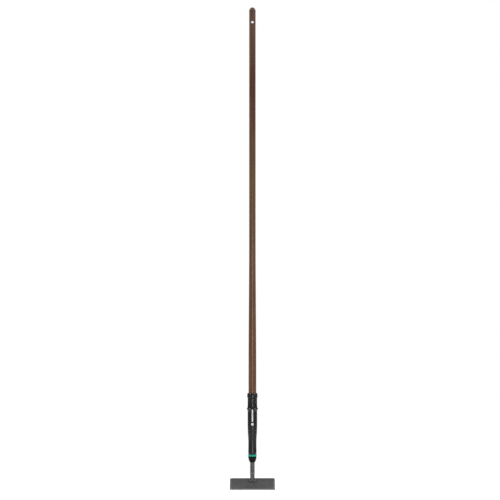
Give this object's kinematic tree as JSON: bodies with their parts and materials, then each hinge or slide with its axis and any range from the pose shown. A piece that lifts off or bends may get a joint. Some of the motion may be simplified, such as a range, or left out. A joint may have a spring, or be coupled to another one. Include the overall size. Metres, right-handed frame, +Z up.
{
  "type": "garden hoe",
  "caption": "Long wooden-handled garden hoe: a rectangular blade on a bent round steel neck, in a plastic socket that a hand-turned nut clamps to the tapered shaft.",
  "frame": {"origin": "centre of the hanging hole, on the shaft's axis", "axes": "+Z up along the shaft away from the blade, -Y the way the blade's ground edge comes forward, +X along the cutting edge"},
  "size_m": [0.16, 0.0854, 1.7061],
  "materials": {
    "stained_wood": "stained, satin lacquer",
    "black_plastic": "fine-textured",
    "gloss_black_plastic": "polished",
    "accent_plastic": "satin",
    "light_plastic": "satin",
    "rubber": "matte",
    "grey_steel": "satin grey coating",
    "zinc_steel": "zinc plated"
  },
  "bodies": {
    "shaft": {"wooden_shaft": "stained_wood"},
    "head": {"socket_body": "black_plastic", "label_bar": "light_plastic", "label_dot": "light_plastic", "clamp_ring": "black_plastic", "tapered_sleeve": "black_plastic", "accent_ring": "accent_plastic", "nose_cap": "gloss_black_plastic", "nose_seal": "rubber", "tang_pin": "zinc_steel", "tang_washer": "zinc_steel", "tang_nut": "zinc_steel", "steel_neck": "grey_steel", "blade": "grey_steel", "weld_bead": "grey_steel"},
    "clamp_washer": {"slip_washer": "zinc_steel"},
    "clamp": {"clamp_nut": "black_plastic", "wiper_ring": "rubber"}
  },
  "joints": [
    {"name": "head_pull", "type": "slide", "parent": "shaft", "child": "head", "axis": [0, 0, -1], "range_m": [0, 0.14]},
    {"name": "nut_rise", "type": "slide", "parent": "head", "child": "clamp_washer", "axis": [0, 0, 1], "range_m": [0, 0.003]},
    {"name": "nut_turn", "type": "hinge", "parent": "clamp_washer", "child": "clamp", "pos_m": [0, 0, -1.324], "axis": [0, 0, 1], "range_deg": [0, 360]}
  ],
  "couplings": [
    {"joint": "nut_rise", "follows": "nut_turn", "m_per_rad": 0.00047746}
  ]
}
